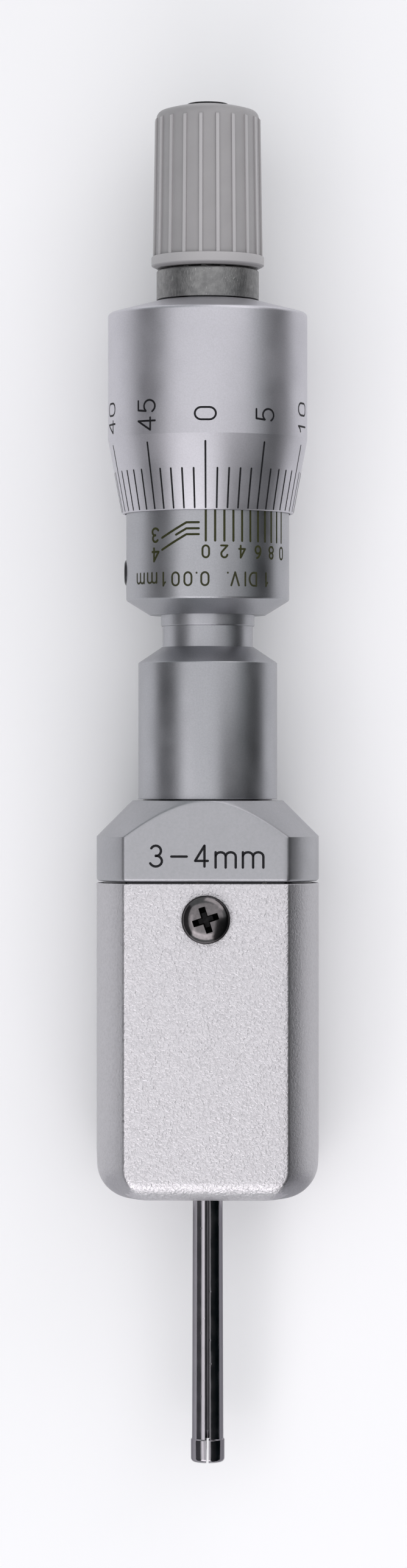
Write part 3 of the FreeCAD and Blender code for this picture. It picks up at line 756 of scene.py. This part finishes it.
def filling_paint(name, dark, light):
    """Paint wiped into the cut marks: matt, a little uneven where the cutter's floor shows."""
    material, tree, shader = new_material(name)
    place = add_node(tree, "ShaderNodeTexCoord").outputs["Object"]
    uneven = add_node(
        tree, "ShaderNodeTexNoise", {"Vector": place, "Scale": 1 / (0.3 * MM), "Detail": 3.0}
    ).outputs["Fac"]
    tint = add_node(tree, "ShaderNodeMix", {0: uneven, 6: colour(dark), 7: colour(light)}, data_type="RGBA")
    dull = add_node(
        tree,
        "ShaderNodeMapRange",
        {"Value": uneven, "From Min": 0.3, "From Max": 0.7, "To Min": 0.5, "To Max": 0.65},
    )
    tree.links.new(tint.outputs[2], shader.inputs["Base Color"])
    tree.links.new(dull.outputs[0], shader.inputs["Roughness"])
    shader.inputs["Specular IOR Level"].default_value = 0.2
    return material


black_paint = filling_paint("black_filling_paint", "#0d0d10", "#1c1c20")
cut = 0.21
lines = []
for sign, x, y, wide, high in (
    ("3", -4.17, 50.90, 1.20, 1.96),
    ("4", -0.375, 50.90, 1.27, 1.96),
    ("-", -2.26, 50.86, 1.50, 0.3),
    ("m", 1.66, 50.58, 1.90, 1.50),
    ("m", 3.965, 50.58, 1.93, 1.50),
):
    lines += engraved(sign, (x, y), wide, high, cut)
paint("block_marks", lines, cut, lambda u, v, up: (u, v, face + up), black_paint, "housing")


# Collar. A turned steel sleeve with a chamfered top that joins the block to the micrometer screw; its
# spigot is pressed into the block and its bore holds the nut tube.
collar_radius, collar_foot, neck_radius = 5.925, 55.67, 3.85
spigot_bore, tube_low = 3.3, 63.40
collar = turned(
    "collar_ring",
    [
        (spigot_bore, spigot_low),
        (spigot_radius, spigot_low),
        (spigot_radius, block_top),
        (5.5, block_top),
        (5.5, collar_foot),
        (collar_radius, collar_foot, 0.03),
        (collar_radius, 67.28, 0.15),
        (neck_radius, 68.68, 0.05),
        (neck_radius, tube_low),
        (spigot_bore, tube_low),
    ],
)

# Satin chrome plate: an even mid grey with a soft broad shine. The grain is 0.12 mm, coarser than real.
satin_chrome = satin_metal("satin_chrome_plate", "#a7a8ac", "#b2b3b7", 0.39, 0.12, 0.003)
collar.data.materials.append(satin_chrome)
# Below the collar's foot, its undercut and spigot take the blackened steel: painted shade for the dark line
# at the block.
collar.data.materials.append(black_steel)
for side in collar.data.polygons:
    side.material_index = 1 if side.center.y < (collar_foot - 0.002) * MM else 0
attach(collar, "housing")
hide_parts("collar")


# Nut tube. Neck, spindle bearing and screw nut in one turned piece, pressed into the collar. Its upper
# end is slit three times inside the thimble, where a ring nut takes up the play.
tube_radius, tube_step, tube_top = 3.985, 70.40, 92.4
bearing_bore, thread_bore, thread_low = 2.53, 2.83, 80.9
nut_tube = turned(
    "neck_tube",
    [
        (bearing_bore, tube_low),
        (neck_radius, tube_low),
        (neck_radius, tube_step),
        (tube_radius, tube_step, 0.12),
        (tube_radius, tube_top, 0.1),
        (thread_bore, tube_top),
        (thread_bore, thread_low),
        (bearing_bore, thread_low),
    ],
)
for turn in (0, 120, 240):
    slit = bar((0.5, tube_top - 6.5, -0.2), (8, tube_top + 1, 0.2))
    slit.rotation_euler = (0, math.radians(turn), 0)
    combine(nut_tube, apply_place(slit))
clean(nut_tube)
nut_tube.data.materials.append(satin_chrome)
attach(nut_tube, "housing")
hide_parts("nut_tube")


# Scale sleeve. A thin turned sleeve over the nut tube that carries the main scale and the vernier. It
# can be turned to set zero, and a small grub screw on its left side locks it.
sleeve_radius, sleeve_bore = 6.95, 6.15
sleeve_low, hub_top, sleeve_top = 71.36, 77.40, 92.9
grub_y, grub_radius = 75.0, 1.1
sleeve = turned(
    "scale_barrel",
    [
        (tube_radius, sleeve_low),
        (4.93, sleeve_low, 0.08),
        (sleeve_radius, 72.61, 0.25),
        (sleeve_radius, sleeve_top),
        (sleeve_bore, sleeve_top),
        (sleeve_bore, hub_top),
        (tube_radius, hub_top),
    ],
    160,
)
combine(sleeve, pin(grub_radius, (-tube_radius, grub_y, 0), (-8, grub_y, 0)))
clean(sleeve)
sleeve.data.materials.append(satin_chrome)
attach(sleeve, "housing")
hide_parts("scale_sleeve")

grub_top, socket_radius, socket_depth = 7.10, 0.52, 0.9
grub = turned(
    "grub_screw",
    [
        (0, tube_radius),
        (grub_radius, tube_radius, 0.1),
        (grub_radius, 6.98, 0.1),
        (0.9, 7.09, 0.05),
        (0, grub_top),
    ],
    64,
)
grub.rotation_euler = (0, 0, math.radians(90))
grub.location = (0, grub_y * MM, 0)
apply_place(grub)
bpy.ops.object.select_all(action="DESELECT")
bpy.ops.mesh.primitive_cylinder_add(
    vertices=6,
    radius=socket_radius * MM,
    depth=2 * socket_depth * MM,
    location=(-grub_top * MM, grub_y * MM, 0),
    rotation=(0, math.radians(90), 0),
)
combine(grub, apply_place(bpy.context.object))
clean(grub, 40)
grub.data.materials.append(black_steel)
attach(grub, "housing")
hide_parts("sleeve_set_screw")


# Sleeve marks. Lines and figures are cut with a pantograph and filled with dark olive paint; the figures
# stand on their heads, because the sleeve is read with the thimble towards the reader.
def on_sleeve(u, v, up):
    """A place on the sleeve from a distance round it and a height along it in mm."""
    turn = u / sleeve_radius
    return ((sleeve_radius + up) * math.sin(turn), v, (sleeve_radius + up) * math.cos(turn))


def round_sleeve(degrees):
    """Distance round the sleeve in mm."""
    return math.radians(degrees) * sleeve_radius


olive_paint = filling_paint("olive_filling_paint", "#25270f", "#383a1a")
fine_cut, digit_cut, note_cut = 0.19, 0.168, 0.165
lines = []
for spots in (
    [(-4.89, 78.94), (-13.56, 78.94), (-32.12, 77.69)],
    [(-4.89, 78.43), (-13.56, 78.43), (-21.15, 77.92)],
    [(-4.89, 77.94), (-13.56, 77.94), (-32.12, 76.68)],
):
    lines.append([(round_sleeve(a), y) for a, y in spots])
vernier_step = 6.48
for k in range(11):
    lines.append([(round_sleeve(vernier_step * k), y) for y in (80.3, 77.40)])
lines += engraved("3", (round_sleeve(-38.2), 77.93), 0.81, 1.31, 0.17, 180)
lines += engraved("4", (round_sleeve(-37.9), 76.27), 0.85, 1.26, 0.17, 180)
paint("sleeve_scale", lines, fine_cut, on_sleeve, olive_paint, "housing")
lines = []
for k, sign in enumerate("024680"):
    lines += engraved(sign, (round_sleeve(2 * vernier_step * k), 76.49), 0.72, 1.17, digit_cut, 180)
paint("sleeve_digits", lines, digit_cut, on_sleeve, olive_paint, "housing")

note_paint = filling_paint("thin_olive_filling_paint", "#2a2b18", "#3b3c26")
lines = []
for sign, degrees, y, wide, high in (
    ("1", 46.5, 74.20, 0.6, 1.26), ("D", 34.6, 74.20, 0.85, 1.26), ("I", 28.4, 74.20, 0.3, 1.26),
    ("V", 20.7, 74.20, 0.85, 1.26), (".", 15.4, 74.71, 0.2, 0.22), ("0", -0.6, 74.20, 0.78, 1.26),
    (".", -6.4, 74.70, 0.2, 0.22), ("0", -12.5, 74.20, 0.78, 1.26), ("0", -21.6, 74.20, 0.78, 1.26),
    ("1", -31.0, 74.20, 0.6, 1.26), ("m", -41.2, 74.33, 1.2, 1.0), ("m", -53.5, 74.33, 1.2, 1.0),
):
    lines += engraved(sign, (round_sleeve(degrees), y), wide, high, note_cut, 180)
paint("sleeve_note", lines, note_cut, on_sleeve, note_paint, "housing")


# Thimble. Turned in one piece and seated on the spindle's taper. It has a bevelled edge with fifty
# divisions, a plain barrel and a shallow cone up to the ratchet, and its bore clears the scale sleeve.
barrel_radius, rim_radius, mean_radius, thimble_bore = 8.5, 7.3, 8.0, 7.05
rim_y, bevel_top, taper_low, thimble_top = 79.99, 86.36, 95.4, 98.15
flange_radius = 4.36
thimble = turned(
    "thimble_barrel",
    [
        (thimble_bore, rim_y),
        (rim_radius, rim_y, 0.12),
        (barrel_radius, bevel_top, 0.12),
        (barrel_radius, 97.056, 0.35),
        (flange_radius, thimble_top),
        (2.3, thimble_top),
        (2.6, taper_low),
        (thimble_bore, taper_low),
    ],
    160,
)
bright_chrome = satin_metal("bright_satin_chrome_plate", "#c7c6cb", "#d1d0d6", 0.45, 0.12, 0.004)
thimble.data.materials.append(bright_chrome)
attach(thimble, "screw")
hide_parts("thimble")


def on_bevel(u, v, up):
    """A place on the thimble's bevel from a distance round its mean radius and a height along it in mm."""
    radius = rim_radius + (barrel_radius - rim_radius) * (v - rim_y) / (bevel_top - rim_y)
    turn = u / mean_radius
    return ((radius + up) * math.sin(turn), v, (radius + up) * math.cos(turn))


division_low, short_top, long_top, division_cut = 80.16, 83.44, 85.66, 0.16
lines = []
for k in range(50):
    way_round = math.radians(7.2 * k) * mean_radius
    lines.append([(way_round, division_low), (way_round, long_top if k % 5 == 0 else short_top)])
paint("thimble_divisions", lines, division_cut, on_bevel, black_paint, "screw")


def on_barrel(u, v, up):
    """A place on the thimble's barrel from a distance round it and a height along it in mm."""
    turn = u / barrel_radius
    return ((barrel_radius + up) * math.sin(turn), v, (barrel_radius + up) * math.cos(turn))


number_y, digit_shift, number_cut = 87.97, 0.755, 0.17
lines = []
for k in range(10):
    way_round = math.radians(36 * k) * barrel_radius
    number = str(5 * k)
    rows = [number_y] if len(number) == 1 else [number_y - digit_shift, number_y + digit_shift]
    for sign, y in zip(number, rows):
        lines += engraved(sign, (way_round, y), 1.2, 1.94, number_cut, 90)
paint("thimble_numbers", lines, number_cut, on_barrel, black_paint, "screw")


# Ratchet body. Bare turned steel, screwed on the spindle's stud: a flange with saw teeth on its top and
# the post that the grip turns on. Its rim is scratched and specked from handling.
flange_foot, flange_top, post_top = 98.27, 100.80, 113.655
post_radius, screw_hole, screw_hole_low, stud_top = 1.5, 0.8, 108.555, 100.45
ratchet_body = turned(
    "ratchet_collar",
    [
        (post_radius, thimble_top),
        (4.1, thimble_top),
        (4.1, flange_foot),
        (flange_radius, flange_foot, 0.03),
        (flange_radius, flange_top, 0.2),
        (post_radius, flange_top),
        (post_radius, post_top),
        (screw_hole, post_top),
        (screw_hole, screw_hole_low),
        (0, screw_hole_low),
        (0, stud_top),
        (post_radius, stud_top),
    ],
)
tooth_half, tooth_count = 0.475, 12
tooth = bar((1.9, 100.75, -tooth_half), (3.1, 101.15, tooth_half))
for vertex in tooth.data.vertices:
    if vertex.co.y > 101 * MM:
        vertex.co.z = tooth_half * MM
teeth = [tooth]
for k in range(1, tooth_count):
    teeth.append(duplicate(tooth, "tooth"))
    teeth[-1].rotation_euler = (0, math.radians(360 / tooth_count * k), 0)
    apply_place(teeth[-1])
select_only(ratchet_body)
for tooth in teeth:
    tooth.select_set(True)
bpy.ops.object.join()
bpy.ops.object.shade_smooth_by_angle(angle=math.radians(30))

# Turned free-cutting steel, bare and dull: darker than the chrome, with short scratches and pale specks
# from handling. They are drawn 0.17 mm wide, coarser than real, so that they show.
turned_steel, tree, shader = new_material("bare_turned_steel")
place = add_node(tree, "ShaderNodeTexCoord").outputs["Object"]
upright = add_node(tree, "ShaderNodeMapping", {"Vector": place, "Scale": (1, 0.3, 1)}).outputs[0]
scratches = add_node(
    tree,
    "ShaderNodeTexNoise",
    {"Vector": upright, "Scale": 1 / (0.17 * MM), "Detail": 3.0, "Distortion": 1.5},
).outputs["Fac"]
blotches = add_node(
    tree, "ShaderNodeTexNoise", {"Vector": place, "Scale": 1 / (0.6 * MM), "Detail": 5.0, "Roughness": 0.6}
).outputs["Fac"]
mottle = add_node(
    tree, "ShaderNodeMapRange", {"Value": blotches, "From Min": 0.35, "From Max": 0.65}
).outputs[0]
tint = add_node(
    tree, "ShaderNodeMix", {0: mottle, 6: colour("#828282"), 7: colour("#999998")}, data_type="RGBA"
)
bright = add_node(
    tree, "ShaderNodeMapRange", {"Value": scratches, "From Min": 0.66, "From Max": 0.75}
).outputs[0]
worn = add_node(
    tree, "ShaderNodeMix", {0: bright, 6: tint.outputs[2], 7: colour("#c9c8c6")}, data_type="RGBA"
)
bump = add_node(tree, "ShaderNodeBump", {"Height": scratches, "Strength": 0.8, "Distance": 0.032 * MM})
tree.links.new(worn.outputs[2], shader.inputs["Base Color"])
tree.links.new(bump.outputs[0], shader.inputs["Normal"])
shader.inputs["Roughness"].default_value = 0.45
shader.inputs["Metallic"].default_value = 1.0
ratchet_body.data.materials.append(turned_steel)
# Below the flange's foot, in the gap over the thimble, the faces take the blackened steel: painted shade.
ratchet_body.data.materials.append(black_steel)
for side in ratchet_body.data.polygons:
    side.material_index = 1 if side.center.y < (flange_foot - 0.002) * MM else 0
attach(ratchet_body, "screw")
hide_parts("ratchet_body")


# End screw. A flat slotted screw of blackened steel in the post's end, nearly level with the dome,
# which keeps the grip on.
end_radius, end_top, end_slot_low = 1.75, 115.045, 114.545
end_screw = turned(
    "end_screw_head",
    [
        (0, 108.655),
        (screw_hole, 108.655),
        (screw_hole, post_top),
        (end_radius, post_top),
        (end_radius, end_top, 0.08),
        (0, end_top),
    ],
    64,
)
combine(end_screw, bar((-3.5, end_slot_low, -0.25), (3.5, 116.3, 0.25)))
clean(end_screw)
end_screw.data.materials.append(black_steel)
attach(end_screw, "screw")
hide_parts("end_screw")


# Grip. The ratchet's knob is moulded in grey plastic, with twenty straight ribs that taper with it and
# run out just under the domed end. Four keyways inside take the ratchet wheel's lugs.
grip_bottom, grip_top = 100.955, 115.005
dome_ball, ring_radius, foot_radius, shoulder_radius = 13.5, 4.805, 4.55, 4.36
inner_radius, inner_depth, post_hole, screw_seat = 3.5, 8.7, 1.53, 1.8
keyway_reach, keyway_half, keyway_top = 3.85, 0.65, 104.955


def dome_level(radius):
    """Height of the grip's domed end at a radius in mm."""
    return grip_top - dome_ball + math.sqrt(dome_ball**2 - radius**2)


outline = [
    (inner_radius, grip_bottom),
    (4.325, grip_bottom, 0.05),
    (ring_radius, grip_bottom + 0.24, 0.08),
    (ring_radius, grip_bottom + 1.0, 0.08),
    (foot_radius, grip_bottom + 1.0),
    (shoulder_radius, dome_level(shoulder_radius), 0.7),
]
outline += [(radius, dome_level(radius)) for radius in (3.8, 3.4, 3.0, 2.6, 2.2)]
outline += [
    (screw_seat, 114.884, 0.05),
    (screw_seat, 113.615),
    (post_hole, 113.615),
    (post_hole, grip_bottom + inner_depth),
    (inner_radius, grip_bottom + inner_depth),
]
grip = turned("knob", outline, 100)
for wide, deep in ((keyway_reach, keyway_half), (keyway_half, keyway_reach)):
    combine(grip, bar((-wide, 100.9, -deep), (wide, keyway_top, deep)))
clean(grip)

# The ribs: every fifth strip of the side is raised.
rib_count, rib_height, first_rib = 20, 0.16, 12.6
select_only(grip)
bpy.ops.object.mode_set(mode="EDIT")
bpy.ops.mesh.select_mode(type="FACE")
bpy.ops.mesh.select_all(action="DESELECT")
bpy.ops.object.mode_set(mode="OBJECT")
for side in grip.data.polygons:
    centre = side.center / MM
    turn = math.degrees(math.atan2(centre.x, centre.z)) % (360 / rib_count)
    outer = math.hypot(centre.x, centre.z) > 4.3 and 103 < centre.y < 113.5
    side.select = outer and abs(side.normal.y) < 0.3 and abs(turn - first_rib) < 1
bpy.ops.object.mode_set(mode="EDIT")
bpy.ops.mesh.extrude_region_shrink_fatten(TRANSFORM_OT_shrink_fatten={"value": rib_height * MM})
bpy.ops.object.mode_set(mode="OBJECT")
for vertex in grip.data.vertices:
    if vertex.select and vertex.co.y > 112 * MM:
        vertex.co.y -= rib_height * MM
grip.rotation_euler = (0, math.radians(-0.6), 0)
apply_place(grip)
break_edges(grip, 0.05, 40)

# Moulded ABS: a dull mid grey that scatters light softly. The ribs' tops are painted paler as a painted
# highlight: the mask is the height above the tapering ground between them.
moulded_abs, tree, shader = new_material("moulded_grey_abs")
place = add_node(tree, "ShaderNodeTexCoord").outputs["Object"]
texture = add_node(
    tree, "ShaderNodeTexNoise", {"Vector": place, "Scale": 1 / (0.25 * MM), "Detail": 4.0}
).outputs["Fac"]
handled = add_node(
    tree, "ShaderNodeTexNoise", {"Vector": place, "Scale": 1 / (2.5 * MM), "Detail": 4.0}
).outputs["Fac"]
across = add_node(tree, "ShaderNodeVectorMath", {0: place, 1: (1, 0, 1)}, operation="MULTIPLY").outputs[0]
reach = add_node(tree, "ShaderNodeVectorMath", {0: across}, operation="LENGTH").outputs["Value"]
height = add_node(tree, "ShaderNodeSeparateXYZ", {0: place}).outputs["Y"]
ground = add_node(
    tree,
    "ShaderNodeMapRange",
    {
        "Value": height,
        "From Min": 101.96 * MM,
        "From Max": 114.3 * MM,
        "To Min": foot_radius * MM,
        "To Max": shoulder_radius * MM,
    },
).outputs[0]
raised = add_node(tree, "ShaderNodeMath", {0: reach, 1: ground}, operation="SUBTRACT").outputs[0]
rib_highlight_mask = add_node(
    tree, "ShaderNodeMapRange", {"Value": raised, "From Min": 0.04 * MM, "From Max": 0.13 * MM}
).outputs[0]
tint = add_node(
    tree, "ShaderNodeMix", {0: handled, 6: colour("#989697"), 7: colour("#a4a2a3")}, data_type="RGBA"
)
# The ribs' tops turn paler: a painted highlight.
rib_highlight_tint = add_node(
    tree, "ShaderNodeMix", {0: rib_highlight_mask, 6: tint.outputs[2], 7: colour("#b5b3b4")}, data_type="RGBA"
)
dull = add_node(
    tree,
    "ShaderNodeMapRange",
    {"Value": texture, "From Min": 0.3, "From Max": 0.7, "To Min": 0.42, "To Max": 0.55},
)
bump = add_node(tree, "ShaderNodeBump", {"Height": texture, "Strength": 0.3, "Distance": 0.006 * MM})
tree.links.new(rib_highlight_tint.outputs[2], shader.inputs["Base Color"])
tree.links.new(dull.outputs[0], shader.inputs["Roughness"])
tree.links.new(bump.outputs[0], shader.inputs["Normal"])
shader.inputs["Specular IOR Level"].default_value = 0.5
grip.data.materials.append(moulded_abs)
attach(grip, "ratchet_grip")
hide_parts("grip_sleeve")


# Inner pieces. The needle, its cup, bush, springs and ball, the pins, the spindle, the ring nut and the
# ratchet wheel sit inside the housing; they are ground steel, spring steel and brass, as they are bought.
ground_steel = satin_metal("ground_bearing_steel", "#b0b0b3", "#c2c2c5", 0.25, 0.1, 0.002, (1, 0.1, 1))
spring_steel = satin_metal("drawn_spring_steel", "#8a8b90", "#a0a1a6", 0.3, 0.15, 0.003)
brass = satin_metal("turned_brass", "#b08d4c", "#c9a662", 0.3, 0.15, 0.003)
# The needle, deep in the arms' slit, is a dark grey steel: painted shade inside the slit.
needle_shade_steel = satin_metal("needle_steel_painted_shade", "#4c4b4e", "#5e5d60", 0.3, 0.15, 0.002, (1, 0.1, 1))
inner = {
    "cone_needle": needle_shade_steel,
    "needle_cup": ground_steel,
    "needle_bush": brass,
    "thrust_ball": lapped_steel,
    "pivot_pin_right": ground_steel,
    "pivot_pin_left": ground_steel,
    "spindle": ground_steel,
    "adjusting_nut": ground_steel,
    "ratchet_wheel": ground_steel,
    "ratchet_spring": spring_steel,
}
for name, finish in inner.items():
    for material_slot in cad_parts[name].material_slots:
        material_slot.material = finish

# The return spring is a copy of its solid, carried by the housing.
low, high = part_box("needle_spring")
coil = bpy.data.objects.new("return_coil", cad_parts["needle_spring"].data.copy())
bpy.context.collection.objects.link(coil)
clean(coil, 40)
coil.data.materials.clear()
coil.data.materials.append(spring_steel)
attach(coil, "housing")
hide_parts("needle_spring")
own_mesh(coil)

# The clip round the arms springs open with them; here it is cut into a right half and a left half.
for side in ("right", "left"):
    clip = bpy.data.objects.new(side + "_clip_half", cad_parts["arm_spring"].data.copy())
    bpy.context.collection.objects.link(clip)
    clean(clip, 40)
    clip.data.materials.clear()
    clip.data.materials.append(spring_steel)
    way = 1 if side == "right" else -1
    combine(clip, bar((min(-5 * way, 0), 20, -5), (max(-5 * way, 0), 40, 5)))
    clean(clip, 40)
    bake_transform(clip)
    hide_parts("arm_spring")
